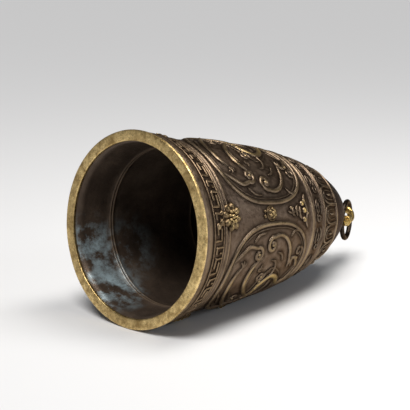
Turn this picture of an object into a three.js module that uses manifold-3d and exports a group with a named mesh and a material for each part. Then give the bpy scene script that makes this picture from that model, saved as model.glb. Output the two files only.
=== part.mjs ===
// A round Chinese bronze bell lying on its side: a cast shell with a gilt lip, a key-fret band, four oval
// dragon roundels, flower bosses, a cloud band and petal lappets, and a gilt twisted loop on the crown
// that carries a loose bronze ring. Millimetres, +Z up; the axis runs along +X from the mouth to the crown.
import * as THREE from "three";
import { mergeVertices } from "three/addons/utils/BufferGeometryUtils.js";
import Module from "manifold-3d";

const wasm = await Module();
wasm.setup();

// Driving dimensions of the shell
const lipRadius = 60; // outside of the gilt lip
const lipProud = 1; // the lip stands out past the wall by this much
const lipFaceWidth = 7.2; // width of the flat mouth face
const lipDepth = 2.4; // how far the gilt lip reaches up the wall
const crownHeight = 3.28 * lipRadius; // mouth plane to the top of the crown
const bodyRadius = 0.908 * lipRadius; // mouth radius of the dome-shaped profile without its flare
const profilePower = 2.15; // how square the shoulder of the profile is
const flareLength = 0.3 * lipRadius; // the wall flares out to the lip over this length
const wallThickness = 5;
const crownThickness = 6;
const innerFlare = 3.3; // how far the bore flares at the mouth
const seatGap = 0.3; // clearance between pieces that seat on each other
const reliefSeat = seatGap + 0.12; // a raised line's clearance, as its straight pieces dip towards the wall
const turnSteps = 48; // facets round the bell

// Stations along the axis from the mouth plane, as shares of the lip radius
const fretBand = [0.16, 0.345];
const fineRidges = [0.38, 0.415];
const fieldCentre = 1.19;
const upperRidge = [1.93, 2.0];
const cloudBand = [2.02, 2.21];
const lappetRidge = 2.25;
const lappetBand = [2.29, 2.6];
const boreRings = [0.48, 1.6];
const domeStations = [2.55, 2.83, 3.04, 3.17, 3.24];

// Relief
const mergeTolerance = 0.08; // edges shorter or flatter than this are merged after joining
const longestStep = 7.5; // longest straight piece of a raised line
const frameHeight = 1.5; // height of a roundel's raised border
const scrollHeight = 1.35;
const fretHeight = 1; // low enough for the lip to reach the ground
const fineRidgeHeight = 0.5;
const fieldRidgeHeight = 0.9;
const roundelCount = 4;
const roundelTurn = 60.5; // degrees from the near side, over the top, to the first roundel's centre
const roundelHalfTurn = 39.5; // half-width in degrees round the axis
const roundelHalfHeight = 0.7 * lipRadius;
const roundelPower = 3.3; // superellipse exponent of the roundel's outline
const borderWidth = 3;
const fretRepeats = 18;
const cloudRepeats = 18;
const lappetCount = 18;
const flowerStation = 0.47;
const flowerRadius = 0.125 * lipRadius;
const bossStation = 1.14;
const bossRadius = 0.074 * lipRadius;

// Suspension
const loopBar = 2.9; // radius of the twisted bar
const loopHalfSpan = 15;
const loopRise = 16.5; // crown to the bar's centre line at the top of the arch
const loopTurn = -22; // degrees from the near side to the plane of the arch
const loopTwists = 2.5; // turns of the rope twist from foot to foot
const ringRadius = 13.2; // centre line of the hanging ring
const ringStock = 1.7; // radius of the ring's stock
const ringSlack = 0.9; // running gap between the ring and the bar
const ringYaw = 24; // degrees between the ring's face and the bell's axis, turned towards the mouth

const at = (share) => share * lipRadius;

// Radius of the wall's outside at a station along the axis
function outerRadius(station) {
  const share = Math.min(Math.max(station, 0) / crownHeight, 1);
  const flare = lipRadius - lipProud - bodyRadius;
  return (
    bodyRadius * Math.sqrt(Math.max(0, 1 - share ** profilePower)) +
    flare * Math.exp(-((station / flareLength) ** 2))
  );
}

function innerRadius(station) {
  const share = Math.min(Math.max(station, 0) / (crownHeight - crownThickness), 1);
  return (
    (bodyRadius - wallThickness) * Math.sqrt(Math.max(0, 1 - share ** profilePower)) +
    innerFlare * Math.exp(-((station / flareLength) ** 2))
  );
}

// A point on the bell: degrees from the near side over the top, station, height above the wall
function onBell(turn, station, height) {
  const step = 0.05;
  const slope = (outerRadius(station + step) - outerRadius(station - step)) / (2 * step);
  const length = Math.hypot(1, slope);
  const radius = outerRadius(station) + height / length;
  const angle = THREE.MathUtils.degToRad(turn);
  return new THREE.Vector3(
    -radius * Math.sin(angle),
    -radius * Math.cos(angle),
    station - (height * slope) / length,
  );
}

function toSolid(geometry) {
  const bare = geometry.index ? geometry.toNonIndexed() : geometry.clone();
  const places = new THREE.BufferGeometry().setAttribute("position", bare.getAttribute("position"));
  const merged = mergeVertices(places, 1e-4);
  return new wasm.Manifold(
    new wasm.Mesh({
      numProp: 3,
      vertProperties: merged.getAttribute("position").array,
      triVerts: new Uint32Array(merged.index.array),
    }),
  );
}

function toGeometry(whole) {
  const solid = whole.simplify(mergeTolerance);
  const mesh = solid.getMesh();
  const corners = [];
  for (let i = 0; i < mesh.numVert; i++) {
    corners.push(...mesh.vertProperties.subarray(i * mesh.numProp, i * mesh.numProp + 3));
  }
  return new THREE.BufferGeometry()
    .setAttribute("position", new THREE.Float32BufferAttribute(corners, 3))
    .setIndex(new THREE.BufferAttribute(mesh.triVerts, 1))
    .toNonIndexed();
}

const union = (solids) => solids.reduce((a, b) => a.add(b));

// Joins a row of loops with the same number of points into one closed solid
function stitch(loops, closed) {
  const size = loops[0].length;
  const points = loops.flat();
  const faces = [];
  const rows = closed ? loops.length : loops.length - 1;
  for (let i = 0; i < rows; i++) {
    const a = i * size;
    const b = ((i + 1) % loops.length) * size;
    for (let j = 0; j < size; j++) {
      const k = (j + 1) % size;
      faces.push([a + j, a + k, b + j], [a + k, b + k, b + j]);
    }
  }
  if (!closed) {
    const middle = (loop) =>
      loop.reduce((sum, p) => sum.add(p), new THREE.Vector3()).divideScalar(size);
    const last = (loops.length - 1) * size;
    points.push(middle(loops[0]), middle(loops[loops.length - 1]));
    for (let j = 0; j < size; j++) {
      const k = (j + 1) % size;
      faces.push([points.length - 2, k, j]);
      faces.push([points.length - 1, last + j, last + k]);
    }
  }
  const volume = faces.reduce((sum, [a, b, c]) => {
    return sum + points[a].dot(new THREE.Vector3().crossVectors(points[b], points[c]));
  }, 0);
  if (volume < 0) faces.forEach((face) => face.reverse());
  return new wasm.Manifold(
    new wasm.Mesh({
      numProp: 3,
      vertProperties: new Float32Array(points.flatMap((p) => p.toArray())),
      triVerts: new Uint32Array(faces.flat()),
    }),
  );
}

// Flat work is laid out in millimetres about a spot on the bell: x round the girth, y towards the crown
function spot(turn, station) {
  const scale = 180 / (Math.PI * outerRadius(station));
  return (x, y, height) => onBell(turn + x * scale, station + y, height);
}

// A raised line along a flat path, with a flat or a sharp top
function line(place, path, options) {
  const { width, from = reliefSeat, to, closed = false, sharp = true, lap = 0 } = options;
  const count = path.length;
  const loops = path.map(([x, y], i) => {
    const before = path[closed ? (i + count - 1) % count : Math.max(i - 1, 0)];
    const after = path[closed ? (i + 1) % count : Math.min(i + 1, count - 1)];
    const into = new THREE.Vector2(x - before[0] + (i === 0 ? lap : 0), y - before[1]).normalize();
    const out = new THREE.Vector2(after[0] - x + (i === count - 1 ? lap : 0), after[1] - y).normalize();
    const along = into.clone().add(out).normalize();
    const mitre = Math.min(1.5, 1 / Math.max(0.5, Math.abs(along.dot(out.lengthSq() ? out : into))));
    const side = (w) => [x - along.y * w * mitre, y + along.x * w * mitre];
    const half = width / 2;
    const across = sharp
      ? [[half, from], [0, to], [-half, from]]
      : [[half, from], [half * 0.7, to], [-half * 0.7, to], [-half, from]];
    return across.map(([w, h]) => place(...side(w), h));
  });
  return stitch(loops, closed);
}

// A line that runs once round the bell, one repeat after another
function frieze(station, repeats, repeat, options) {
  const girth = 2 * Math.PI * outerRadius(station);
  const path = Array.from({ length: repeats }, (_, i) => {
    return repeat.map(([x, y]) => [x + (i * girth) / repeats, y]);
  }).flat();
  return line(spot(0, station), path, { ...options, closed: true, lap: girth });
}

// A disc laid on the bell: an outline, and rings of [share of the outline, height]
function button(place, outline, rings) {
  return stitch(rings.map(([share, height]) => outline.map(([x, y]) => place(x * share, y * share, height))));
}

function curl(x, y, from, to, start, sweep) {
  const steps = Math.max(4, Math.ceil(Math.abs(sweep) / 50));
  return Array.from({ length: steps + 1 }, (_, i) => {
    const radius = from + ((to - from) * i) / steps;
    const angle = THREE.MathUtils.degToRad(start + (sweep * i) / steps);
    return [x + radius * Math.cos(angle), y + radius * Math.sin(angle)];
  });
}

// A curve through flat points, cut into even steps short enough to follow the wall
function smooth(points, closed = false) {
  const curve = new THREE.CatmullRomCurve3(points.map(([x, y]) => new THREE.Vector3(x, y, 0)), closed);
  const steps = Math.ceil(curve.getLength() / longestStep);
  return curve
    .getSpacedPoints(steps)
    .slice(0, closed ? steps : steps + 1)
    .map((p) => [p.x, p.y]);
}

// Turns a closed outline of [radius, station] pairs about the axis, with a facet along the underside
function turned(outline) {
  const points = [...outline, outline[0]].map(([r, z]) => new THREE.Vector2(Math.max(r, 0), z));
  return new THREE.LatheGeometry(points, turnSteps)
    .rotateX(Math.PI / 2)
    .rotateZ(Math.PI / turnSteps);
}

function stations(from, to, step = 12) {
  const steps = Math.max(1, Math.round((to - from) / step));
  return Array.from({ length: steps + 1 }, (_, i) => from + ((to - from) * i) / steps);
}

// A band that hugs the wall between two stations
function hoop(from, to, height) {
  const row = (h) =>
    stations(from, to).map((z) => {
      const p = onBell(0, z, h);
      return [-p.y, p.z];
    });
  return turned([...row(height), ...row(seatGap).reverse()]);
}

// A ridge of the cast wall: its foot, crest and foot again
function ridge(station, width, height) {
  return [
    [outerRadius(station - width / 2), station - width / 2],
    [outerRadius(station) + height, station],
    [outerRadius(station + width / 2), station + width / 2],
  ];
}

const bronze = { color: 0x5a4636, roughness: 0.45, metalness: 0.85 };
const gilt = { color: 0xb8923f, roughness: 0.3, metalness: 1 };
const dark = { color: 0x2a221d, roughness: 0.5, metalness: 0.8 };

const bell = new THREE.Group();
function add(name, geometry, look) {
  const mesh = new THREE.Mesh(geometry, new THREE.MeshStandardMaterial(look));
  mesh.name = name;
  bell.add(mesh);
  return mesh;
}

// Shell: the outside with its cast ridges, closed over the crown, and the bore with its fine rings
function shell() {
  const foot = lipDepth + seatGap;
  const wall = (z) => [outerRadius(z), z];
  const bore = (z) => [innerRadius(z), z];
  const ease = (top, share) => top * Math.sin((Math.PI / 2) * share);
  const outside = [
    wall(foot),
    wall(at(0.15)),
    wall(at(0.26)),
    ...fineRidges.flatMap((s) => ridge(at(s), 1.4, fineRidgeHeight)),
    wall(at(0.85)),
    wall(at(1.25)),
    wall(at(1.6)),
    ...ridge(at((upperRidge[0] + upperRidge[1]) / 2), at(upperRidge[1] - upperRidge[0]), fieldRidgeHeight),
    ...ridge(at(lappetRidge), 2, fineRidgeHeight),
    ...domeStations.map((s) => wall(at(s))),
    [0, crownHeight],
  ];
  const top = crownHeight - crownThickness;
  const ringLine = (s) => [
    bore(at(s) + 1.2),
    [innerRadius(at(s)) - 0.6, at(s)],
    bore(at(s) - 1.2),
  ];
  const inside = [
    [0, top],
    ...[0.86, 0.76, 0.66].map((share) => bore(ease(top, share))),
    ...ringLine(boreRings[1]),
    ...[0.36, 0.25].map((share) => bore(ease(top, share))),
    ...ringLine(boreRings[0]),
    bore(at(0.2)),
    bore(foot),
  ];
  return turned([...outside, ...inside]);
}

add("bell_shell", shell(), bronze);

// Gilt lip: a flat-faced hoop with eased corners
function lip() {
  const inner = lipRadius - lipFaceWidth;
  const ease = 0.6;
  return turned([
    [inner + ease, 0],
    [lipRadius - ease, 0],
    [lipRadius, ease],
    [lipRadius, lipDepth - ease],
    [lipRadius - ease, lipDepth],
    [inner, lipDepth],
    [inner, ease],
  ]);
}

add("mouth_lip", lip(), gilt);

// Key-fret band: two rails with a squared hook between them for each repeat
function fret() {
  const [from, to] = fretBand.map(at);
  const middle = (from + to) / 2;
  const pitch = 360 / fretRepeats;
  const reach = (to - from) / 2 - 0.9;
  const wide = (pitch * Math.PI * outerRadius(middle)) / 180;
  const rail = (y) => frieze(middle, turnSteps, [[0, y]], { width: 1.8, to: fretHeight });
  const post = [[-0.4 * wide, -reach], [-0.4 * wide, reach]];
  const hook = [[0.3 * wide, reach], [0.3 * wide, -0.5 * reach], [-0.12 * wide, -0.5 * reach]];
  const style = { width: 1.7, to: fretHeight, sharp: false };
  const hooks = Array.from({ length: fretRepeats }, (_, i) => {
    const place = spot((i + 0.5) * pitch, middle);
    return line(place, post, style).add(line(place, hook, style));
  });
  return toGeometry(union([rail(-reach), rail(reach), ...hooks]));
}

add("fret_band", fret(), bronze);

// Dragon roundel: a plate with a raised border and a coiling dragon of ribbed curls on it
function roundel(turn, mirror) {
  const station = at(fieldCentre);
  const place = spot(turn, station);
  const halfWidth = (roundelHalfTurn * Math.PI * outerRadius(station)) / 180;
  const steps = 32;
  const share = (v) => Math.sign(v) * Math.abs(v) ** (2 / roundelPower);
  const outline = Array.from({ length: steps }, (_, i) => {
    const angle = (2 * Math.PI * (i + 0.5)) / steps;
    return [
      (halfWidth - borderWidth / 2) * share(Math.cos(angle)),
      (roundelHalfHeight - borderWidth / 2) * share(Math.sin(angle)),
    ];
  });
  const border = line(place, smooth(outline, true), {
    width: borderWidth,
    to: frameHeight,
    closed: true,
    sharp: false,
  });
  const rib = (path, width) =>
    line(place, path.map(([x, y]) => [x * mirror, y]), { width, to: scrollHeight });
  const body = smooth([[16, 6], [17, 17], [8, 29], [-9, 31], [-23, 21], [-27, 2], [-20, -15], [-7, -17]]);
  const back = smooth([[15, 7.5], [8, 19], [-1, 23], [-14, 18], [-19, 2], [-15, -7], [-8, -4]]);
  return union([
    border,
    rib(body, 3.4),
    rib(back, 2.6),
    rib(curl(19.5, -1, 8.5, 2.2, 120, -480), 2.8),
    rib(curl(15, -20, 8.5, 2.2, 60, -440), 2.8),
    rib(curl(-4, 3, 8, 2.2, -120, 440), 2.8),
    rib(curl(-14, -29, 6.5, 2, 90, 400), 2.6),
    rib(smooth([[17, 16], [26, 21], [34, 25]]), 2.6),
    rib(smooth([[-26, 5], [-30, -1], [-35.2, -3]]), 2.6),
    rib([[-7, -16], [-14, -22.8]], 3),
    rib(smooth([[-9, -26], [-1, -33], [10, -37], [20, -38.6]]), 2.6),
    rib([[19.5, -13], [19.5, -6]], 3),
  ]);
}

for (let i = 0; i < roundelCount; i++) {
  const turn = roundelTurn - (i * 360) / roundelCount;
  add("dragon_roundel_" + (i + 1), toGeometry(roundel(turn, i % 2 ? -1 : 1)), bronze);
}

// Petalled flower boss, seated over the fine ridges
function flower(turn) {
  const petals = 8;
  const outline = Array.from({ length: petals * 3 }, (_, i) => {
    const angle = (2 * Math.PI * i) / (petals * 3);
    const radius = flowerRadius * (0.93 + 0.07 * Math.cos(petals * angle));
    return [radius * Math.cos(angle), radius * Math.sin(angle)];
  });
  const base = fineRidgeHeight + seatGap;
  return button(spot(turn, at(flowerStation)), outline, [
    [0.5, base],
    [1, base],
    [1, base + 0.7],
    [0.8, base + 1.4],
    [0.5, base + 1.0],
    [0.42, base + 1.7],
    [0.15, base + 2.1],
  ]);
}

// Small round boss between two roundels
function boss(turn) {
  const outline = Array.from({ length: 16 }, (_, i) => {
    const angle = (2 * Math.PI * i) / 16;
    return [bossRadius * Math.cos(angle), bossRadius * Math.sin(angle)];
  });
  return button(spot(turn, at(bossStation)), outline, [
    [0.5, seatGap],
    [1, seatGap],
    [1, 1.1],
    [0.8, 1.7],
    [0.55, 1.3],
    [0.45, 2.0],
    [0.15, 2.4],
  ]);
}

// Spray of stacked curved strokes in the spandrel above a boss
function spray(turn) {
  const place = spot(turn, at(1.68));
  const style = { width: 2.4, to: 1.4 };
  const chevron = (y, half, dip) => [
    [-half, y + dip],
    [-half / 2, y + dip / 4],
    [0, y],
    [half / 2, y + dip / 4],
    [half, y + dip],
  ];
  return union([
    line(place, [[0, -13.5], [0, -6], [0, 2], [0, 9]], { width: 3, to: 1.6 }),
    line(place, chevron(-8, 4, 3), style),
    line(place, chevron(-2.5, 7, 4), style),
    line(place, chevron(3, 10.5, 5), style),
    line(place, chevron(8.5, 14, 2.5), style),
  ]);
}

for (let i = 0; i < roundelCount; i++) {
  const turn = roundelTurn + 180 / roundelCount - ((i + 1) * 360) / roundelCount;
  add("flower_boss_" + (i + 1), toGeometry(flower(turn)), gilt);
  add("seam_boss_" + (i + 1), toGeometry(boss(turn)), gilt);
  add("cloud_spray_" + (i + 1), toGeometry(spray(turn)), bronze);
}

// Cloud band: one raised line that rolls round the bell, a wave for each repeat
function clouds() {
  const [from, to] = cloudBand.map(at);
  const middle = (from + to) / 2;
  const wide = (2 * Math.PI * outerRadius(middle)) / cloudRepeats;
  const reach = (to - from) / 2 - 1.2;
  const wave = [
    [-0.5 * wide, -reach],
    [-0.3 * wide, -0.3 * reach],
    [-0.22 * wide, reach],
    [0.16 * wide, reach],
    [0.22 * wide, 0.1 * reach],
    [0.05 * wide, -reach],
  ];
  return toGeometry(frieze(middle, cloudRepeats, wave, { width: 2, to: scrollHeight }));
}

add("cloud_band", clouds(), bronze);

// Lappets: petals with rounded ends towards the mouth, drawn as one raised line round the dome
function lappets() {
  const [from, to] = lappetBand.map(at);
  const middle = (from + to) / 2;
  const half = (Math.PI * outerRadius(middle)) / lappetCount - 1.1;
  const reach = (to - from) / 2 - 1;
  const petal = [
    [-half, reach],
    [-half, -reach * 0.4],
    [-half * 0.5, -reach],
    [half * 0.5, -reach],
    [half, -reach * 0.4],
    [half, reach],
  ];
  return toGeometry(frieze(middle, lappetCount, petal, { width: 1.8, to: scrollHeight }));
}

add("lappet_band", lappets(), bronze);

// Loop: a bar of lobed section twisted like rope, arched over the crown, its feet fitted to the dome
function loop() {
  const steps = 28;
  const foot = crownHeight - 11;
  const rise = crownHeight + loopRise - foot;
  const away = THREE.MathUtils.degToRad(loopTurn);
  const side = new THREE.Vector3(-Math.sin(away), -Math.cos(away), 0);
  const up = new THREE.Vector3(0, 0, 1);
  const across = new THREE.Vector3().crossVectors(up, side);
  const loops = Array.from({ length: steps + 1 }, (_, i) => {
    const angle = (Math.PI * i) / steps;
    const centre = side
      .clone()
      .multiplyScalar(loopHalfSpan * Math.cos(angle))
      .addScaledVector(up, foot + rise * Math.sin(angle));
    const tangent = side
      .clone()
      .multiplyScalar(-loopHalfSpan * Math.sin(angle))
      .addScaledVector(up, rise * Math.cos(angle))
      .normalize();
    const out = new THREE.Vector3().crossVectors(across, tangent);
    const thick = loopBar * (1 + 0.25 * Math.cos(angle) ** 6);
    return Array.from({ length: 8 }, (_, j) => {
      const spin = (2 * Math.PI * j) / 8 + (2 * Math.PI * loopTwists * i) / steps;
      const radius = thick * (j % 2 ? 1 : 0.82);
      return centre
        .clone()
        .addScaledVector(across, radius * Math.cos(spin))
        .addScaledVector(out, radius * Math.sin(spin));
    });
  });
  const dome = turned([
    [0, at(domeStations[0])],
    ...domeStations.map((s) => [outerRadius(at(s)) + seatGap, at(s) + seatGap]),
    [0, crownHeight + seatGap],
  ]);
  return stitch(loops).subtract(toSolid(dome));
}

add("crown_loop", toGeometry(loop()), gilt);

// Hanging ring: hangs plumb from the top of the arch, its hole round the bar
function ring(tilt) {
  const drop = ringRadius - ringStock - loopBar - ringSlack;
  const plumb = new THREE.Vector3(Math.cos(tilt), 0, Math.sin(tilt));
  const yaw = THREE.MathUtils.degToRad(ringYaw);
  const face = new THREE.Vector3(0, -Math.cos(yaw), 0).addScaledVector(
    new THREE.Vector3().crossVectors(plumb, new THREE.Vector3(0, 1, 0)),
    Math.sin(yaw),
  );
  const flat = new THREE.Vector3().crossVectors(plumb, face);
  const centre = new THREE.Vector3(0, 0, crownHeight + loopRise).addScaledVector(plumb, drop);
  const frame = new THREE.Matrix4().makeBasis(flat, plumb, face).setPosition(centre);
  return new THREE.TorusGeometry(ringRadius, ringStock, 8, 24).applyMatrix4(frame);
}

// Rest pose: the lean at which the lip and the relief of the field both touch the ground
function restLean() {
  const lowest = (mesh, lean) => {
    const place = mesh.geometry.getAttribute("position");
    let low = Infinity;
    for (let i = 0; i < place.count; i++) {
      low = Math.min(low, -place.getX(i) * Math.cos(lean) - place.getZ(i) * Math.sin(lean));
    }
    return low;
  };
  let [less, more] = [0, Math.PI / 6];
  for (let i = 0; i < 40; i++) {
    const lean = (less + more) / 2;
    const field = Math.min(...bell.children.slice(2).map((mesh) => lowest(mesh, lean)));
    if (lowest(bell.children[1], lean) < field) less = lean;
    else more = lean;
  }
  return (less + more) / 2;
}

const lean = restLean();
add("hanging_ring", ring(lean), dark);

// Lays the bell down on its lowest side, the near side towards -Y, and centres its box
bell.rotation.y = Math.PI / 2 + lean;
const pose = new THREE.Group();
pose.add(bell);
pose.updateMatrixWorld(true);
const box = new THREE.Box3().setFromObject(pose, true);
bell.position.set(-(box.min.x + box.max.x) / 2, -(box.min.y + box.max.y) / 2, -box.min.z);
export default pose;
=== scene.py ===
import math

import bmesh
import bpy
from mathutils import Matrix, Vector, kdtree, noise


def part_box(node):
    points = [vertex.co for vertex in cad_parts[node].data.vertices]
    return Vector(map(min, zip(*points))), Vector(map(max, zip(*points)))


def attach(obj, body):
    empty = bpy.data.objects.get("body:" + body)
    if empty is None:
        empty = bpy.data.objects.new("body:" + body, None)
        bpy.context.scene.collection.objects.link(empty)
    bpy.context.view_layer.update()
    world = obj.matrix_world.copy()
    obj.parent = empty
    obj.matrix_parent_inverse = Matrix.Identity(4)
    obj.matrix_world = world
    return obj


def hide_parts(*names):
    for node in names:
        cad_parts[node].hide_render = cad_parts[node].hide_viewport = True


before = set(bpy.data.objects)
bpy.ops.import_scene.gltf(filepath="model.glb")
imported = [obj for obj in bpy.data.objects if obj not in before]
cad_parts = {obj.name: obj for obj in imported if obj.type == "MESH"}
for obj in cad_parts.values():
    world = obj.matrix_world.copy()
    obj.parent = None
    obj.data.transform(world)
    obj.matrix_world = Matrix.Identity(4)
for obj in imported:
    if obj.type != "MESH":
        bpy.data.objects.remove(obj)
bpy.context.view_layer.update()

mm = 0.001

# The bell's own measures, the same as the solids have
bell = {
    "lipRadius": 60 * mm,
    "lipProud": 1.0 * mm,
    "lipDepth": 2.4 * mm,
    "height": 196.8 * mm,
    "bodyRadius": 54.48 * mm,
    "profilePower": 2.15,
    "flareLength": 18 * mm,
    "wall": 5 * mm,
    "crownThickness": 6 * mm,
    "innerFlare": 3.3 * mm,
    "seatGap": 0.3 * mm,
    "lean": math.radians(5.9069),
}

axisWay = Vector((math.cos(bell["lean"]), 0, -math.sin(bell["lean"])))  # mouth to crown
upWay = Vector((math.sin(bell["lean"]), 0, math.cos(bell["lean"])))
nearWay = Vector((0, -1, 0))
lipLow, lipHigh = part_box("mouth_lip")
mouth = (lipLow + lipHigh) / 2 - axisWay * bell["lipDepth"] / 2
bellPlace = Matrix.Translation(mouth) @ Matrix((upWay, nearWay, axisWay)).transposed().to_4x4()


def outerRadius(station):
    share = min(max(station, 0) / bell["height"], 1)
    flare = bell["lipRadius"] - bell["lipProud"] - bell["bodyRadius"]
    dome = bell["bodyRadius"] * math.sqrt(max(0, 1 - share ** bell["profilePower"]))
    return dome + flare * math.exp(-((station / bell["flareLength"]) ** 2))


def innerRadius(station):
    share = min(max(station, 0) / (bell["height"] - bell["crownThickness"]), 1)
    dome = (bell["bodyRadius"] - bell["wall"]) * math.sqrt(max(0, 1 - share ** bell["profilePower"]))
    return dome + bell["innerFlare"] * math.exp(-((station / bell["flareLength"]) ** 2))


# A point on the bell: degrees from the near side over the top, station from the mouth, height above the wall
def onBell(turn, station, height):
    step = 0.05 * mm
    slope = (outerRadius(station + step) - outerRadius(station - step)) / (2 * step)
    length = math.hypot(1, slope)
    radius = outerRadius(station) + height / length
    angle = math.radians(turn)
    side = nearWay * math.cos(angle) + upWay * math.sin(angle)
    return mouth + axisWay * (station - height * slope / length) + side * radius


def addPiece(name, work, material, slot, body, *replaced):
    mesh = bpy.data.meshes.new(name)
    work.to_mesh(mesh)
    work.free()
    mesh.shade_smooth()
    mesh.materials.append(material)
    piece = bpy.data.objects.new(name, mesh)
    bpy.context.scene.collection.objects.link(piece)
    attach(piece, body)
    if replaced:
        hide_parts(*replaced)
    return piece


# Materials
def link(tree, source, target):
    tree.links.new(source, target)


def newMaterial(name):
    material = bpy.data.materials.new(name)
    material.use_nodes = True
    tree = material.node_tree
    return material, tree, tree.nodes["Principled BSDF"]


def addNode(tree, kind, **values):
    node = tree.nodes.new(kind)
    for key, value in values.items():
        setattr(node, key, value)
    return node


def objectNoise(tree, scale, detail=4, rough=0.6, stretch=(1, 1, 1)):
    place = addNode(tree, "ShaderNodeTexCoord")
    turn = addNode(tree, "ShaderNodeMapping")
    turn.inputs["Scale"].default_value = stretch
    cloud = addNode(tree, "ShaderNodeTexNoise")
    cloud.inputs["Scale"].default_value = scale
    cloud.inputs["Detail"].default_value = detail
    cloud.inputs["Roughness"].default_value = rough
    link(tree, place.outputs["Object"], turn.inputs["Vector"])
    link(tree, turn.outputs["Vector"], cloud.inputs["Vector"])
    return cloud.outputs["Fac"]


def ramp(tree, source, stops):
    node = addNode(tree, "ShaderNodeValToRGB")
    elements = node.color_ramp.elements
    while len(elements) < len(stops):
        elements.new(0.5)
    for element, (place, colour) in zip(elements, stops):
        element.position = place
        element.color = (*colour, 1)
    link(tree, source, node.inputs["Fac"])
    return node.outputs["Color"]


def mixColour(tree, factor, first, second, blend="MIX"):
    node = addNode(tree, "ShaderNodeMix", data_type="RGBA", blend_type=blend)
    for socket, value in ((node.inputs[6], first), (node.inputs[7], second), (node.inputs[0], factor)):
        if isinstance(value, bpy.types.NodeSocket):
            link(tree, value, socket)
        else:
            socket.default_value = (*value, 1) if isinstance(value, tuple) else value
    return node.outputs[2]


def rangeOf(tree, source, low, high, newLow=0.0, newHigh=1.0):
    node = addNode(tree, "ShaderNodeMapRange")
    for key, value in (("From Min", low), ("From Max", high), ("To Min", newLow), ("To Max", newHigh)):
        node.inputs[key].default_value = value
    link(tree, source, node.inputs["Value"])
    return node.outputs["Result"]


def product(tree, first, second):
    node = addNode(tree, "ShaderNodeMath", operation="MULTIPLY")
    link(tree, first, node.inputs[0])
    link(tree, second, node.inputs[1])
    return node.outputs["Value"]


def bump(tree, shader, source, strength, distance):
    node = addNode(tree, "ShaderNodeBump")
    node.inputs["Strength"].default_value = strength
    node.inputs["Distance"].default_value = distance
    link(tree, source, node.inputs["Height"])
    link(tree, node.outputs["Normal"], shader.inputs["Normal"])


# Cast bronze: three browns in clouds, painted shade in the corners beside the relief and rubbed bright on the crests
def bronzeColour(tree, browns, rubbed, rubbedFrom, clouds, fine):
    dark, middle, light = browns
    colour = ramp(tree, clouds, [(0.30, dark), (0.5, middle), (0.72, light)])
    colour = mixColour(tree, 0.4, colour, ramp(tree, fine, [(0.35, dark), (0.65, light)]))
    hollowShade = addNode(tree, "ShaderNodeAttribute", attribute_name="hollowShade").outputs["Fac"]
    # Painted shade: where hollowShade is high the colour darkens towards near-black, in corners at the foot of the
    # relief and over the dome
    colour = mixColour(tree, rangeOf(tree, hollowShade, 0.0, 1.0, 0.0, 0.88), colour, (0.012, 0.008, 0.006))
    crest = addNode(tree, "ShaderNodeAttribute", attribute_name="crest").outputs["Fac"]
    worn = product(tree, rangeOf(tree, crest, rubbedFrom, 1.0), rangeOf(tree, clouds, 0.34, 0.58))
    return mixColour(tree, worn, colour, rubbed)


def castBronze(name, browns, rubbed, rubbedFrom, rough=(0.24, 0.46), grain=1.0):
    material, tree, shader = newMaterial(name)
    clouds = objectNoise(tree, 55, 6, 0.65)
    fine = objectNoise(tree, 420, 5, 0.7)
    link(tree, bronzeColour(tree, browns, rubbed, rubbedFrom, clouds, fine), shader.inputs["Base Color"])
    link(tree, rangeOf(tree, fine, 0.3, 0.7, *rough), shader.inputs["Roughness"])
    shader.inputs["Metallic"].default_value = 0.92
    shader.inputs["Specular Tint"].default_value = (0.55, 0.46, 0.38, 1)
    bump(tree, shader, fine, 0.4 * grain, 0.5 * mm)
    return material


def shellBronze(name):
    material, tree, shader = newMaterial(name)
    clouds = objectNoise(tree, 42, 7, 0.68)
    fine = objectNoise(tree, 380, 6, 0.72)
    browns = ((0.052, 0.033, 0.022), (0.142, 0.098, 0.069), (0.27, 0.203, 0.15))
    outside = bronzeColour(tree, browns, (0.34, 0.25, 0.15), 0.5, clouds, fine)
    inside = ramp(tree, clouds, [(0.3, (0.030, 0.022, 0.017)), (0.52, (0.07, 0.05, 0.037)), (0.75, (0.13, 0.095, 0.07))])
    # Painted reflection: pale blue-grey veils inside the mouth on the lower left, where the floor and lamps reflect in
    # a glossy patina
    spots = rangeOf(tree, objectNoise(tree, 75, 8, 0.7), 0.44, 0.62)
    reflectionVeils = (  # place, reach and strength
        ((-0.101, 0.030, 0.013), 0.027, 1.0),
        ((-0.103, 0.047, 0.040), 0.024, 0.9),
        ((-0.072, 0.044, 0.034), 0.026, 0.45),
    )
    for centre, reach, strength in reflectionVeils:
        place = addNode(tree, "ShaderNodeTexCoord")
        away = addNode(tree, "ShaderNodeVectorMath", operation="DISTANCE")
        away.inputs[1].default_value = centre
        link(tree, place.outputs["Object"], away.inputs[0])
        near = rangeOf(tree, away.outputs["Value"], reach, reach * 0.3, 0.0, strength)
        inside = mixColour(tree, product(tree, near, spots), inside, (0.36, 0.46, 0.50))
    crest = addNode(tree, "ShaderNodeAttribute", attribute_name="crest").outputs["Fac"]
    # Painted highlight: the crests of the bore lines are lightened to a warm brown
    inside = mixColour(tree, rangeOf(tree, crest, 0.2, 1.0, 0.0, 0.8), inside, (0.26, 0.18, 0.11))
    bore = addNode(tree, "ShaderNodeAttribute", attribute_name="bore").outputs["Fac"]
    link(tree, mixColour(tree, bore, outside, inside), shader.inputs["Base Color"])
    link(tree, rangeOf(tree, fine, 0.3, 0.7, 0.27, 0.50), shader.inputs["Roughness"])
    link(tree, rangeOf(tree, bore, 0.0, 1.0, 0.92, 0.35), shader.inputs["Metallic"])
    shader.inputs["Specular Tint"].default_value = (0.45, 0.38, 0.32, 1)
    bump(tree, shader, fine, 0.5, 0.6 * mm)
    return material


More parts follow.
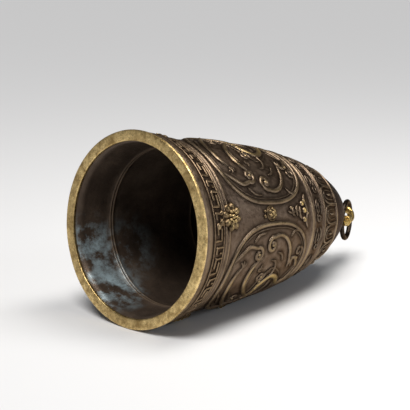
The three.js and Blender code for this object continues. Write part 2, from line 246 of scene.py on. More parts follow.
def giltMetal(name, bright, dull, pits=0.5, rough=(0.24, 0.5)):
    material, tree, shader = newMaterial(name)
    clouds = objectNoise(tree, 150, 6, 0.75)
    fine = objectNoise(tree, 560, 5, 0.75)
    colour = ramp(tree, clouds, [(0.38, dull), (0.56, bright)])
    colour = mixColour(tree, rangeOf(tree, fine, 0.46, 0.62, 0.0, 0.6), colour, dull)
    wide = rangeOf(tree, objectNoise(tree, 24, 5, 0.7), 0.46, 0.66, 0.0, 0.65)
    colour = mixColour(tree, wide, colour, tuple(0.72 * c for c in dull))
    specks = rangeOf(tree, objectNoise(tree, 330, 6, 0.8), 0.60, 0.66)
    colour = mixColour(tree, specks, colour, (0.05, 0.032, 0.016))
    link(tree, colour, shader.inputs["Base Color"])
    link(tree, rangeOf(tree, fine, 0.3, 0.7, *rough), shader.inputs["Roughness"])
    shader.inputs["Metallic"].default_value = 0.95
    bump(tree, shader, fine, pits, 0.4 * mm)
    return material


warmBrowns = ((0.062, 0.042, 0.027), (0.178, 0.127, 0.087), (0.335, 0.255, 0.18))
shellMetal = shellBronze("shellMetal")
reliefMetal = castBronze("reliefMetal", warmBrowns, (0.56, 0.40, 0.15), 0.5)
fretBrowns = ((0.07, 0.045, 0.027), (0.2, 0.138, 0.088), (0.35, 0.25, 0.158))
fretMetal = castBronze("fretMetal", fretBrowns, (0.46, 0.34, 0.18), 0.6)
crownBrowns = ((0.04, 0.027, 0.019), (0.11, 0.08, 0.056), (0.235, 0.18, 0.13))
crownMetal = castBronze("crownMetal", crownBrowns, (0.42, 0.33, 0.22), 0.55)
bossBrowns = ((0.05, 0.033, 0.018), (0.15, 0.102, 0.056), (0.28, 0.2, 0.11))
bossMetal = castBronze("bossMetal", bossBrowns, (0.60, 0.44, 0.20), 0.68)
# Painted shade: the ring's browns are near-black, as the ring hangs in shade beside the crown
ringShadowBrowns = ((0.014, 0.01, 0.008), (0.036, 0.027, 0.02), (0.08, 0.06, 0.045))
ringMetal = castBronze("ringMetal", ringShadowBrowns, (0.15, 0.11, 0.07), 0.7)
lipMetal = giltMetal("lipMetal", (0.86, 0.64, 0.29), (0.36, 0.235, 0.085), 0.8, (0.2, 0.5))
loopMetal = giltMetal("loopMetal", (0.66, 0.46, 0.15), (0.30, 0.19, 0.06), 0.35)
print("materials made")


def spinAboutAxis(work, parts, steps):
    bmesh.ops.spin(work, geom=parts, cent=(0, 0, 0), axis=(0, 0, 1), angle=2 * math.pi, steps=steps, use_merge=True)
    bmesh.ops.remove_doubles(work, verts=work.verts, dist=0.002 * mm)
    bmesh.ops.recalc_face_normals(work, faces=work.faces)


def outlineOf(work, points, closed):
    corners = [work.verts.new((r, 0, z)) for r, z in points]
    edges = [work.edges.new(pair) for pair in zip(corners, corners[1:])]
    if closed:
        edges.append(work.edges.new((corners[-1], corners[0])))
    return corners + edges


# Lip: a flat gilt hoop with worn, rounded corners
lip = {"face": 6.7 * mm, "ease": 0.8 * mm, "cornerSteps": 5, "steps": 256, "waver": 0.22}


def makeLip():
    inner = bell["lipRadius"] - lip["face"]
    outer = bell["lipRadius"]
    ease = lip["ease"]
    points = []
    for cx, cz, start in (
        (outer - ease, ease, -90),
        (outer - ease, bell["lipDepth"] - ease, 0),
        (inner + ease, bell["lipDepth"] - ease, 90),
        (inner + ease, ease, 180),
    ):
        for i in range(lip["cornerSteps"] + 1):
            angle = math.radians(start + 90 * i / lip["cornerSteps"])
            points.append((cx + ease * math.cos(angle), cz + ease * math.sin(angle)))
    work = bmesh.new()
    spinAboutAxis(work, outlineOf(work, points, True), lip["steps"])
    for v in work.verts:
        radius = math.hypot(v.co.x, v.co.y)
        waver = noise.noise(v.co * 60) * lip["waver"] * mm
        v.co.x += v.co.x / radius * waver
        v.co.y += v.co.y / radius * waver
    bmesh.ops.transform(work, matrix=bellPlace, verts=work.verts)
    return addPiece("lip", work, lipMetal, "gilt_lip", "bell", "mouth_lip")


makeLip()
print("lip made")


# Flat work: strokes and beads are laid out in millimetres about a spot, x round the girth and y towards the crown
def flow(points, pace=1.2, closed=False):
    count = len(points)
    path = []
    for i in range(count if closed else count - 1):
        if closed:
            p = [Vector(points[(i + k) % count]) for k in (-1, 0, 1, 2)]
        else:
            p = [Vector(points[min(max(i + k, 0), count - 1)]) for k in (-1, 0, 1, 2)]
        steps = max(2, math.ceil((p[2] - p[1]).length / pace))
        for j in range(steps):
            t = j / steps
            path.append(
                0.5 * (2 * p[1] + (p[2] - p[0]) * t + (2 * p[0] - 5 * p[1] + 4 * p[2] - p[3]) * t * t
                       + (3 * p[1] - p[0] - 3 * p[2] + p[3]) * t ** 3)
            )
    if not closed:
        path.append(Vector(points[-1]))
    return path


def curl(x, y, fromRadius, toRadius, start, sweep):
    steps = max(8, math.ceil(abs(sweep) / 16))
    path = []
    for i in range(steps + 1):
        radius = fromRadius + (toRadius - fromRadius) * i / steps
        angle = math.radians(start + sweep * i / steps)
        path.append(Vector((x + radius * math.cos(angle), y + radius * math.sin(angle))))
    return path


def stroke(path, width, start=1.0, end=1.0, closed=False, rise=None):
    return {"path": [Vector(p) for p in path], "width": width, "start": start, "end": end, "closed": closed, "rise": rise}


# Round-backed strokes come from bevelled curves, flattened and bent onto the bell
def strokeMesh(strokes, squash, resolution=2):
    curve = bpy.data.curves.new("strokes", "CURVE")
    curve.dimensions = "3D"
    curve.bevel_depth = 1.0
    curve.bevel_resolution = resolution
    curve.use_fill_caps = True
    for item in strokes:
        path = item["path"]
        spline = curve.splines.new("POLY")
        spline.points.add(len(path) - 1)
        spline.use_cyclic_u = item["closed"]
        for i, p in enumerate(path):
            along = i / max(1, len(path) - 1)
            lead = min(1, along / 0.18)
            trail = min(1, (1 - along) / 0.3)
            taper = (item["start"] + (1 - item["start"]) * math.sin(math.pi / 2 * lead)) * (
                item["end"] + (1 - item["end"]) * math.sin(math.pi / 2 * trail)
            )
            spline.points[i].co = (p.x, p.y, 0, 1)
            spline.points[i].radius = item["width"] / 2 * (1 if item["closed"] else taper)
    holder = bpy.data.objects.new("strokes", curve)
    bpy.context.scene.collection.objects.link(holder)
    mesh = bpy.data.meshes.new_from_object(holder.evaluated_get(bpy.context.evaluated_depsgraph_get()))
    bpy.data.objects.remove(holder)
    bpy.data.curves.remove(curve)
    work = bmesh.new()
    work.from_mesh(mesh)
    bpy.data.meshes.remove(mesh)
    for v in work.verts:
        v.co.z *= squash
    return work


def addBead(work, x, y, radius, height, stretch=1.0, turn=0.0, fine=3):
    place = Matrix.Translation((x, y, 0)) @ Matrix.Rotation(math.radians(turn), 4, "Z")
    shape = Matrix.Diagonal((radius * stretch, radius, height, 1))
    bmesh.ops.create_icosphere(work, subdivisions=fine, radius=1, matrix=place @ shape)


reliefPoints = []


def bendOnto(work, turn, station, lift, full):
    scale = 180 / (math.pi * outerRadius(station))
    crest = work.verts.layers.float.new("crest")
    hollowShade = work.verts.layers.float.new("hollowShade")
    for v in work.verts:
        height = v.co.z * mm + lift * mm
        v[crest] = min(1, max(0, height / (full * mm)))
        # Painted shade: the foot of each raised stroke is darkened, standing in for ambient occlusion
        v[hollowShade] = max(0, 1 - height / (0.45 * full * mm)) * 0.8
        v.co = onBell(turn + v.co.x * mm * scale, station + v.co.y * mm, height)
        reliefPoints.append(v.co.copy())
    bmesh.ops.recalc_face_normals(work, faces=work.faces)


# Fret: squared T and hook strokes between two rails
fret = {
    "from": 9.4, "to": 21.0, "repeats": 18, "rail": 1.4, "line": 1.75, "squash": 0.85, "lift": 0.2,
}


def makeFret():
    middle = (fret["from"] + fret["to"]) / 2
    reach = (fret["to"] - fret["from"]) / 2 - 0.7
    girth = 2 * math.pi * outerRadius(middle * mm) / mm
    wide = girth / fret["repeats"]

    def square(points):
        path = []
        for a, b in zip(points, points[1:]):
            a, b = Vector(a), Vector(b)
            count = max(3, math.ceil((b - a).length / 0.9))
            path += [a.lerp(b, i / count) for i in range(count)]
        return path + [Vector(points[-1])]

    strokes = []
    for y in (-reach, reach):
        strokes.append(([(girth * i / 240, y) for i in range(241)], fret["rail"]))
    half = wide / 2
    pattern = [
        [(-half * 0.8, -reach), (-half * 0.8, reach * 0.45), (-half * 0.1, reach * 0.45)],
        [(-half * 0.45, -reach * 0.35), (half * 0.12, -reach * 0.35), (half * 0.12, reach)],
        [(half * 0.8, reach), (half * 0.8, -reach * 0.45), (half * 0.42, -reach * 0.45)],
        [(half * 0.45, reach * 0.2), (half * 0.45, reach * 0.62)],
    ]
    for i in range(fret["repeats"]):
        for path in pattern:
            strokes.append((square([(x + (i + 0.5) * wide, y) for x, y in path]), fret["line"]))
    work = strokeMesh([stroke(path, width) for path, width in strokes], fret["squash"], 1)
    for bead in range(4):
        turn = 15.5 - 5 + 90 * bead
        addBead(work, girth * (turn % 360) / 360, -0.6, 2.1, 1.3)
    bendOnto(work, 0, middle * mm, fret["lift"], 1.2)
    return addPiece("fret", work, fretMetal, "fret_bronze", "bell", "fret_band")


makeFret()
print("fret made")


# Roundels: a raised border and an archaic dragon of coiling strokes, neighbours mirrored about the seam
roundel = {
    "station": 71.4, "firstTurn": 60.5, "halfTurn": 39.5, "halfHeight": 42.0, "power": 2.6,
    "border": 3.0, "squash": 0.62, "lift": 0.1, "outlineSteps": 150,
}


def borderPath(inset):
    halfWidth = math.radians(roundel["halfTurn"]) * outerRadius(roundel["station"] * mm) / mm - inset
    halfHeight = roundel["halfHeight"] - inset
    path = []
    for i in range(roundel["outlineSteps"]):
        angle = 2 * math.pi * (i + 0.5) / roundel["outlineSteps"]
        c, s = math.cos(angle), math.sin(angle)
        size = (abs(c) ** roundel["power"] + abs(s) ** roundel["power"]) ** (-1 / roundel["power"])
        path.append((halfWidth * c * size, halfHeight * s * size))
    return path


def dragonStrokes():
    body = flow([(-26, -33), (-31, -22), (-29, -8), (-20, 0), (-9, 2), (-3, 9), (-7, 18), (-15, 25), (-13, 33), (-2, 36)])
    neck = flow([(2, 25), (9, 22.5), (17, 19.5), (23.5, 14), (26.3, 7), (25.6, 1)])
    leg = flow([(13.5, -36.5), (18, -30), (21.6, -24), (20.6, -17.5)])
    arm = flow([(-20, -2), (-12, -11), (-4, -17), (5, -17.5), (10.5, -13.5), (12, -12)])
    thigh = flow([(-28, -14), (-19, -25), (-8, -31), (3, -31.5), (9, -27)])
    items = [
        stroke(body, 4.5, 0.3, 0.55),
        stroke(flow([(x + 2.6, y - 2.2) for x, y in ((-26, -8), (-17, -2), (-7, 0), (1, 8), (-3, 18), (-10, 25))]), 1.5, 0.2, 0.2),
        stroke(neck + curl(20.6, -0.6, 5.0, 1.2, 12, -430), 3.1, 0.5, 0.8),
        stroke(leg + curl(16.1, -13.9, 4.7, 1.2, -30, 410), 2.9, 0.4, 0.8),
        stroke(arm, 3.6, 0.7, 0.6),
        stroke(thigh, 3.4, 0.7, 0.5),
        stroke(curl(-1, -2.4, 4.6, 1.1, 60, 400), 2.2, 0.6, 0.8),
        stroke(curl(-19, -15.5, 4.4, 1.1, 200, -400), 2.2, 0.6, 0.8),
        stroke(curl(12, 32.5, 4.4, 1.3, 160, -420), 2.3, 0.6, 0.8),
        stroke(flow([(-2, 36), (4, 33), (8, 29), (6, 25), (1, 24.5)]), 3.2, 0.7, 0.5),
        stroke(flow([(0, 29), (4, 27.5), (9, 27.5)]), 1.6, 0.4, 0.2),
        stroke(flow([(-15, 25), (-21, 30), (-24, 36)]), 2.2, 0.6, 0.15),
        stroke(flow([(-12, 20), (-19, 22), (-26, 21), (-30, 15)]), 2.4, 0.6, 0.15),
        stroke(flow([(-8, 13), (-15, 14), (-22, 12), (-27, 5)]), 2.2, 0.6, 0.15),
        stroke(flow([(-3, 9), (4, 9.5), (9, 6.5), (10, 2)]), 2.2, 0.6, 0.15),
        stroke(flow([(8, 15), (13, 12), (15, 7)]), 1.8, 0.4, 0.15),
        stroke(flow([(24, 19), (28, 24), (26, 31)]), 1.9, 0.4, 0.15),
        stroke(flow([(-31, -22), (-26, -26), (-19, -33)]), 2.0, 0.5, 0.2),
        stroke(flow([(24, -20), (28, -15), (29, -8)]), 1.8, 0.4, 0.15),
        stroke(flow([(-33.5, -3), (-29, 4), (-31, 11)]), 1.8, 0.3, 0.15),
        stroke(curl(-22.5, 25.5, 4.6, 1.2, -40, 420), 1.8, 0.6, 0.8),
        stroke(curl(-30, 21, 3.6, 1.0, 120, -400), 1.6, 0.6, 0.8),
        stroke(flow([(-18, 36), (-12, 29), (-4, 31.5), (3, 37)]), 1.5, 0.3, 0.2),
        stroke(flow([(-34, 8), (-27, 13), (-19, 15.5), (-11, 14)]), 1.5, 0.3, 0.2),
        stroke(flow([(-30, -30), (-22, -29), (-13, -34), (-8, -38)]), 1.8, 0.3, 0.3),
        stroke(flow([(-34, -16), (-27, -18), (-18, -20), (-10, -26)]), 1.6, 0.3, 0.3),
        stroke(flow([(-13, -8), (-7, -13), (0, -14.5), (6, -13)]), 1.5, 0.3, 0.3),
    ]
    for x, y, way in ((12, -12, 20), (9, -27, 0), (5, -9, 70), (-24, 36, 120)):
        for spread in (-38, 0, 38):
            angle = math.radians(way + spread)
            tip = (x + 4.6 * math.cos(angle), y + 4.6 * math.sin(angle))
            bent = (x + 2.6 * math.cos(angle + 0.35), y + 2.6 * math.sin(angle + 0.35))
            items.append(stroke(flow([(x, y), bent, tip], 0.6), 1.5, 0.8, 0.12))
    return items


def makeRoundel(number, turn, mirror):
    items = [
        stroke(borderPath(1.5), roundel["border"], closed=True),
        stroke(borderPath(4.1), 0.9, closed=True),
    ] + dragonStrokes()
    if mirror < 0:
        for item in items:
            item["path"] = [Vector((-p[0], p[1])) for p in item["path"]]
    work = strokeMesh(items, roundel["squash"])
    for x, y, radius in ((7.2, 31.2, 1.5), (20.6, -0.6, 1.3), (16.1, -13.9, 1.3), (-1, -2.4, 1.2), (-19, -15.5, 1.2)):
        addBead(work, x * mirror, y, radius, 1.35, fine=2)
    for i in range(7):
        along = i / 6
        addBead(work, (-26 + 21 * along) * mirror, -6 + 4 * math.sin(along * 3) + 4 * along, 0.9, 1.5, 1.5, 50, fine=2)
    bendOnto(work, turn, roundel["station"] * mm, roundel["lift"], 1.6)
    addPiece(f"roundel{number}", work, reliefMetal, "relief_bronze", "bell", f"dragon_roundel_{number}")


for number in range(4):
    makeRoundel(number + 1, roundel["firstTurn"] - 90 * number, -1 if number % 2 == 0 else 1)
print("roundels made")


# Flower bosses, small bosses and sprays stand on the seams between the roundels
seam = {
    "firstTurn": 15.5, "flowerStation": 28.2, "flowerRadius": 8.8, "bossStation": 68.4, "bossRadius": 5.0,
    "sprayStation": 100.8,
}


def makeFlower(number, turn):
    work = bmesh.new()
    radius = seam["flowerRadius"]
    petals = 8
    for i in range(petals):
        angle = 360 * i / petals + 12
        x, y = math.cos(math.radians(angle)), math.sin(math.radians(angle))
        long = 1.35 + 0.15 * math.sin(2.3 * i)
        addBead(work, x * radius * 0.64, y * radius * 0.64, radius * 0.26, 2.4 + 0.3 * math.sin(1.7 * i), long, angle)
        addBead(work, x * radius * 0.36, y * radius * 0.36, radius * 0.14, 3.1, 1.2, angle)
    addBead(work, 0, 0, radius * 0.22, 3.5)
    addBead(work, 0, 0, radius * 0.8, 1.2)
    for x, y, size in ((-2.5, -9.6, 2.0), (2.6, -9.4, 1.5)):
        addBead(work, x, y, size, 1.5, 1.3, 60)
    bendOnto(work, turn, seam["flowerStation"] * mm, 0.3, 3.0)
    addPiece(f"flower{number}", work, bossMetal, "gilt_boss", "bell", f"flower_boss_{number}")


def makeBoss(number, turn):
    work = strokeMesh([stroke(curl(0, 0, seam["bossRadius"] - 0.5, seam["bossRadius"] - 0.5, 0, 352), 1.1, closed=True)], 1.1)
    for i in range(6):
        angle = math.radians(60 * i)
        addBead(work, 2.3 * math.cos(angle), 2.3 * math.sin(angle), 1.3, 2.2, 1.1, 60 * i)
    addBead(work, 0, 0, 1.6, 3.0)
    addBead(work, 0, 0, 4.0, 1.0)
    for x, y, size in ((-1.6, -6.8, 1.2), (1.4, -6.6, 1.0)):
        addBead(work, x, y, size, 1.2)
    bendOnto(work, turn, seam["bossStation"] * mm, 0.2, 2.3)
    addPiece(f"boss{number}", work, bossMetal, "gilt_boss", "bell", f"seam_boss_{number}")


def makeSpray(number, turn):
    items = [
        stroke(flow([(0.6, -14), (-0.8, -9), (0.6, -3), (-0.4, 2)]), 1.5, 0.2, 0.6),
        stroke(flow([(-2.8, -6), (-1, -8.6), (2.6, -7.4)]), 2.0, 0.4, 0.4),
        stroke(flow([(3.8, -1.2), (1, -4.2), (-3, -2.8)]), 2.2, 0.4, 0.4),
        stroke(flow([(-5.2, 2.2), (-1.8, -0.4), (2.8, 1.0)]), 2.3, 0.4, 0.4),
        stroke(flow([(-11.5, 10), (-7.5, 7.4), (-3, 8.8), (0, 10)]), 2.0, 0.2, 0.5),
        stroke(flow([(11.5, 10), (7.5, 7.4), (3, 8.8), (0, 10)]), 2.0, 0.2, 0.5),
    ]
    work = strokeMesh(items, 0.72)
    for x, y, radius in ((-5.6, 4.8, 1.9), (4.6, 3.6, 1.8), (0.2, 5.4, 2.0), (6.4, 6.6, 1.4), (-1.6, 9.4, 1.3), (2.2, -10.2, 1.2)):
        addBead(work, x, y, radius, radius * 0.85)
    bendOnto(work, turn, seam["sprayStation"] * mm, 0.1, 1.5)
    addPiece(f"spray{number}", work, reliefMetal, "relief_bronze", "bell", f"cloud_spray_{number}")


for number in range(4):
    seamTurn = seam["firstTurn"] - 90 * number
    makeFlower(number + 1, seamTurn)
    makeBoss(number + 1, seamTurn)
    makeSpray(number + 1, seamTurn)
print("bosses and sprays made")


# Cloud band: rolling clouds with feathered tails
cloudBand = {"from": 121.2, "to": 132.6, "repeats": 14, "squash": 0.9}


def makeClouds():
    middle = (cloudBand["from"] + cloudBand["to"]) / 2
    girth = 2 * math.pi * outerRadius(middle * mm) / mm
    wide = girth / cloudBand["repeats"]
    items = []
    for i in range(cloudBand["repeats"]):
        x = (i + 0.5) * wide
        flip = 1 if i % 2 else -1
        items += [
            stroke([p for p in curl(x - 3.4, 0.2 * flip, 3.1, 0.9, 20 * flip, 400 * flip)], 1.5, 0.5, 0.8),
            stroke(flow([(x - 0.6, 1.4 * flip), (x + 2.4, 3.6 * flip), (x + 6.4, 3.0 * flip), (x + 9.6, 0.6 * flip)]), 1.7, 0.5, 0.15),
            stroke(flow([(x - 0.2, -0.4 * flip), (x + 3, 0.6 * flip), (x + 6.6, -0.4 * flip)]), 1.4, 0.4, 0.15),
            stroke(flow([(x - 1.4, -2.4 * flip), (x + 2, -3.4 * flip), (x + 6, -3.2 * flip), (x + 9, -1.6 * flip)]), 1.5, 0.4, 0.15),
        ]
    work = strokeMesh(items, cloudBand["squash"])
    bendOnto(work, 0, middle * mm, 0.05, 1.1)
    addPiece("clouds", work, crownMetal, "crown_bronze", "bell", "cloud_band")


# Lappets: rounded petals that point to the mouth, each with an inner line and a bead
lappet = {"from": 137.4, "to": 156.0, "count": 18, "squash": 0.85}


def makeLappets():
    middle = (lappet["from"] + lappet["to"]) / 2
    girth = 2 * math.pi * outerRadius(middle * mm) / mm
    wide = girth / lappet["count"]
    reach = (lappet["to"] - lappet["from"]) / 2
    items = []
    beads = []
    for i in range(lappet["count"]):
        x = (i + 0.5) * wide
        half = wide / 2 - 0.55
        items.append(stroke(flow([
            (x - half, reach), (x - half, reach * 0.3), (x - half, -reach * 0.35), (x - half * 0.62, -reach * 0.86),
            (x, -reach), (x + half * 0.62, -reach * 0.86), (x + half, -reach * 0.35), (x + half, reach * 0.3), (x + half, reach),
        ]), 1.7, 0.6, 0.6))
        items.append(stroke(flow([
            (x - half * 0.52, reach * 0.8), (x - half * 0.52, -reach * 0.3), (x, -reach * 0.7),
            (x + half * 0.52, -reach * 0.3), (x + half * 0.52, reach * 0.8),
        ]), 1.1, 0.3, 0.3))
        beads.append((x, reach * 0.05))
    work = strokeMesh(items, lappet["squash"])
    for x, y in beads:
        addBead(work, x, y, 0.9, 1.0, 3.2, 90, fine=2)
    bendOnto(work, 0, middle * mm, 0.05, 1.0)
    addPiece("lappets", work, crownMetal, "crown_bronze", "bell", "lappet_band")


makeClouds()
makeLappets()
print("bands made")


# Shell: one profile, out over the dome and back down the bore, spun about the bell's axis
shell = {
    "steps": 320,
    "outsideRows": 150,
    "boreRows": 58,
    "ridges": [  # station, width and height in millimetres
        (5.6, 5.6, 0.55), (22.9, 2.0, 0.75), (26.2, 2.0, 0.75),
        (117.9, 3.4, 1.0), (121.2, 1.0, 0.4), (133.4, 1.2, 0.5), (135.6, 1.8, 0.8), (157.6, 2.2, 0.9),
    ],
    "boreLines": [(27.8, 1.0, 0.5), (29.8, 1.0, 0.5), (96.0, 1.2, 0.5)],
    "swell": 0.15,  # uneven casting, in millimetres
    "domeFrom": 158.5 * mm,
    "domeShade": 1.0,
    "cornerShadeReach": 2.4 * mm,  # how far from the relief the painted corner shade reaches
}


def ridgeHeight(station, ridges):
    total = 0
    for middle, width, height in ridges:
        total += height * mm * math.exp(-(((station / mm - middle) / (width / 2)) ** 4))
    return total


# Stations that close up towards the crown, with more of them on each ridge
def stationsFor(low, high, count, ridges):
    rows = [low + (high - low) * math.sin(math.pi / 2 * i / count) for i in range(count + 1)]
    extra = []
    for middle, width, height in ridges:
        extra += [(middle + width / 2 * share) * mm for share in (-1.25, -1, -0.75, 0, 0.75, 1, 1.25)]
    extra = [z for z in extra if low < z < high]
    kept = [z for z in rows[1:-1] if min(abs(z - other) for other in extra) > 0.3 * mm]
    return [low] + sorted(kept + extra) + [high]


def makeShell():
    foot = bell["lipDepth"] + bell["seatGap"] * 0.3
    work = bmesh.new()
    rows = stationsFor(foot, bell["height"], shell["outsideRows"], shell["ridges"])
    outside = [(outerRadius(z) + ridgeHeight(z, shell["ridges"]), z) for z in rows]
    top = bell["height"] - bell["crownThickness"]
    rows = stationsFor(foot, top, shell["boreRows"], shell["boreLines"])
    inside = [(innerRadius(z) - ridgeHeight(z, shell["boreLines"]), z) for z in rows]
    outside[-1] = (0, bell["height"])
    inside[-1] = (0, top)
    spinAboutAxis(work, outlineOf(work, inside[::-1] + outside, False), shell["steps"])
    near = kdtree.KDTree(len(reliefPoints))
    for i, p in enumerate(reliefPoints):
        near.insert(p, i)
    near.balance()
    bore = work.verts.layers.float.new("bore")
    crest = work.verts.layers.float.new("crest")
    hollowShade = work.verts.layers.float.new("hollowShade")
    for v in work.verts:
        radius = math.hypot(v.co.x, v.co.y)
        middle = (outerRadius(v.co.z) + innerRadius(v.co.z)) / 2
        isBore = radius < middle and v.co.z < top + 0.5 * mm
        v[bore] = 1.0 if isBore else 0.0
        ridges = shell["boreLines" if isBore else "ridges"]
        v[crest] = min(1, ridgeHeight(v.co.z, ridges) / (0.8 * mm))
        swell = noise.noise(v.co * 45) * shell["swell"] * mm
        if radius > 1 * mm:
            v.co.x += v.co.x / radius * swell
            v.co.y += v.co.y / radius * swell
        station = v.co.z
        v.co = bellPlace @ v.co
        if not isBore:
            gap = near.find(v.co)[2]
            # Painted shade: the dome past domeFrom darkens to near-black, and the shell darkens within reach of the
            # relief
            domeShadeShare = shell["domeShade"] * min(1, max(0, (station - shell["domeFrom"]) / (3 * mm)))
            v[hollowShade] = max(domeShadeShare, max(0, 1 - gap / shell["cornerShadeReach"]) * (1 - v[crest]))
    return addPiece("shell", work, shellMetal, "bronze_shell", "bell", "bell_shell")


makeShell()
print("shell made")


# Crown loop: three strands twisted round an arch, with a collar at each foot
loop = {
    "halfSpan": 15 * mm, "rise": 16.5 * mm, "turn": -22, "twists": 2.5, "strand": 1.6 * mm, "spread": 1.25 * mm,
    "footDepth": 11 * mm, "steps": 120,
}


def archPoint(angle):
    side = Matrix.Rotation(0, 3, "X") @ (nearWay * math.cos(math.radians(loop["turn"])) + upWay * math.sin(math.radians(loop["turn"])))
    foot = bell["height"] - loop["footDepth"]
    rise = loop["rise"] + loop["footDepth"]
    centre = mouth + axisWay * (foot + rise * math.sin(angle)) + side * loop["halfSpan"] * math.cos(angle)
    tangent = (axisWay * rise * math.cos(angle) - side * loop["halfSpan"] * math.sin(angle)).normalized()
    across = axisWay.cross(side).normalized()
    return centre, tangent, across


def makeLoop():
    curve = bpy.data.curves.new("strands", "CURVE")
    curve.dimensions = "3D"
    curve.bevel_depth = loop["strand"]
    curve.bevel_resolution = 4
    curve.use_fill_caps = True
    for strand in range(3):
        spline = curve.splines.new("POLY")
        spline.points.add(loop["steps"])
        for i in range(loop["steps"] + 1):
            share = 0.06 + 0.88 * i / loop["steps"]
            centre, tangent, across = archPoint(math.pi * share)
            out = across.cross(tangent)
            spin = 2 * math.pi * (loop["twists"] * share + strand / 3)
            swell = 1 + 0.2 * math.cos(math.pi * share) ** 6
            p = centre + (across * math.cos(spin) + out * math.sin(spin)) * loop["spread"] * swell
            spline.points[i].co = (*p, 1)
            spline.points[i].radius = swell
    holder = bpy.data.objects.new("strands", curve)
    bpy.context.scene.collection.objects.link(holder)
    mesh = bpy.data.meshes.new_from_object(holder.evaluated_get(bpy.context.evaluated_depsgraph_get()))
    bpy.data.objects.remove(holder)
    bpy.data.curves.remove(curve)
    work = bmesh.new()
    work.from_mesh(mesh)
    bpy.data.meshes.remove(mesh)
    for share in (0.12, 0.88):
        centre, tangent, across = archPoint(math.pi * share)
        turn = tangent.to_track_quat("Z", "X").to_matrix().to_4x4()
        for slide, radius, height in ((0, 3.9, 1.0), (1.5, 3.5, 0.9)):
            way = 1 if share < 0.5 else -1
            place = Matrix.Translation(centre + tangent * slide * mm * way) @ turn
            shape = Matrix.Diagonal((radius * mm, radius * mm, height * mm, 1))
            bmesh.ops.create_icosphere(work, subdivisions=3, radius=1, matrix=place @ shape)
    bmesh.ops.recalc_face_normals(work, faces=work.faces)
    addPiece("loop", work, loopMetal, "gilt_loop", "bell", "crown_loop")


# Hanging ring: a round bar bent to a ring, its surface a little uneven
ring = {"radius": 13.2 * mm, "stock": 1.7 * mm, "slack": 0.9 * mm, "bar": 2.9 * mm, "yaw": math.radians(24), "steps": 96}


def makeRing():
    work = bmesh.new()
    place = Matrix.Translation((ring["radius"], 0, 0)) @ Matrix.Rotation(math.pi / 2, 4, "X")
    made = bmesh.ops.create_circle(work, segments=20, radius=ring["stock"], matrix=place)
    edges = list({e for v in made["verts"] for e in v.link_edges})
    spinAboutAxis(work, made["verts"] + edges, ring["steps"])
    for v in work.verts:
        v.co += v.co.normalized() * noise.noise(v.co * 300) * 0.06 * mm
    face = Vector((math.sin(ring["yaw"]), -math.cos(ring["yaw"]), 0))
    down = Vector((0, 0, -1))
    flat = down.cross(face)
    drop = ring["radius"] - ring["stock"] - ring["bar"] - ring["slack"]
    centre = mouth + axisWay * (bell["height"] + loop["rise"]) + down * drop
    turn = Matrix((flat, down, face)).transposed().to_4x4()
    bmesh.ops.transform(work, matrix=Matrix.Translation(centre) @ turn, verts=work.verts)
    addPiece("ring", work, ringMetal, "ring_bronze", "ring", "hanging_ring")


makeLoop()
makeRing()
print("loop and ring made")


# Studio: a flat pale floor, soft lamps, and the photograph's camera
studio = {
    "floorColour": (0.75, 0.755, 0.77),
    "world": (0.80, 0.84, 0.90),
    "worldStrength": 0.12,
    "sun": ((-0.5, -0.25, 1.0), 2.6, 28, (1, 0.98, 0.95)),  # place it shines from, strength, width in degrees, colour
    "lamps": [  # name, place, aimed at, size, watts, colour
        ("top", (0.12, -0.18, 0.75), (0.0, 0, 0.06), 0.32, 3.6, (1, 0.97, 0.92)),
        ("side", (0.45, -0.85, 0.40), (0.0, 0, 0.06), 0.30, 2.0, (0.95, 0.97, 1)),
    ],
}


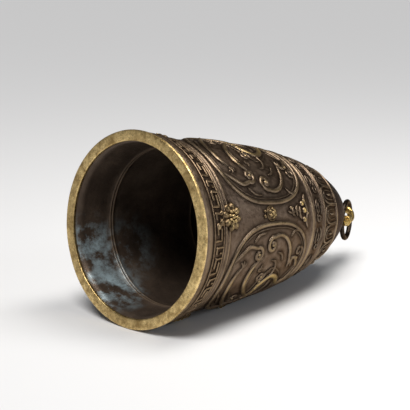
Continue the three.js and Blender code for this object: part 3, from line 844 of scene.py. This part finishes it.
def makeStudio():
    work = bmesh.new()
    bmesh.ops.create_grid(work, x_segments=1, y_segments=1, size=6)
    mesh = bpy.data.meshes.new("floor")
    work.to_mesh(mesh)
    work.free()
    material, tree, shader = newMaterial("floorPaper")
    shader.inputs["Base Color"].default_value = (*studio["floorColour"], 1)
    shader.inputs["Roughness"].default_value = 0.75
    mesh.materials.append(material)
    floor = bpy.data.objects.new("floor", mesh)
    floor.location.z = -0.0002
    bpy.context.scene.collection.objects.link(floor)
    world = bpy.data.worlds.new("studio")
    bpy.context.scene.world = world
    world.use_nodes = True
    tree = world.node_tree
    light = tree.nodes["Background"]
    light.inputs["Color"].default_value = (*studio["world"], 1)
    light.inputs["Strength"].default_value = studio["worldStrength"]
    seen = tree.nodes.new("ShaderNodeBackground")
    seen.inputs["Color"].default_value = (0.86, 0.86, 0.87, 1)
    seen.inputs["Strength"].default_value = 1.0
    rays = tree.nodes.new("ShaderNodeLightPath")
    mix = tree.nodes.new("ShaderNodeMixShader")
    link(tree, rays.outputs["Is Camera Ray"], mix.inputs["Fac"])
    link(tree, light.outputs["Background"], mix.inputs[1])
    link(tree, seen.outputs["Background"], mix.inputs[2])
    link(tree, mix.outputs["Shader"], tree.nodes["World Output"].inputs["Surface"])
    place, strength, width, colour = studio["sun"]
    lamp = bpy.data.lights.new("key", "SUN")
    lamp.energy = strength
    lamp.angle = math.radians(width)
    lamp.color = colour
    holder = bpy.data.objects.new("key", lamp)
    holder.rotation_euler = (-Vector(place)).to_track_quat("-Z", "Y").to_euler()
    bpy.context.scene.collection.objects.link(holder)
    for name, place, aim, size, watts, colour in studio["lamps"]:
        lamp = bpy.data.lights.new(name, "AREA")
        lamp.size = size
        lamp.energy = watts
        lamp.color = colour
        holder = bpy.data.objects.new(name, lamp)
        holder.location = place
        holder.rotation_euler = (Vector(aim) - Vector(place)).to_track_quat("-Z", "Y").to_euler()
        bpy.context.scene.collection.objects.link(holder)


makeStudio()

view = {"away": (-8.3009, -8.8149, 2.9371), "look": (0.7107, 0.6693, -0.2164), "lens": 109.8}
camera = bpy.data.cameras.new("camera")
camera.lens = view["lens"]
camera.sensor_width = 36
camera.clip_start = 0.01
holder = bpy.data.objects.new("camera", camera)
holder.location = mouth + Vector(view["away"]) * bell["lipRadius"]
holder.rotation_euler = Vector(view["look"]).to_track_quat("-Z", "Y").to_euler()
bpy.context.scene.collection.objects.link(holder)
bpy.context.scene.camera = holder
bpy.context.scene.view_settings.view_transform = "Standard"
print("studio made")
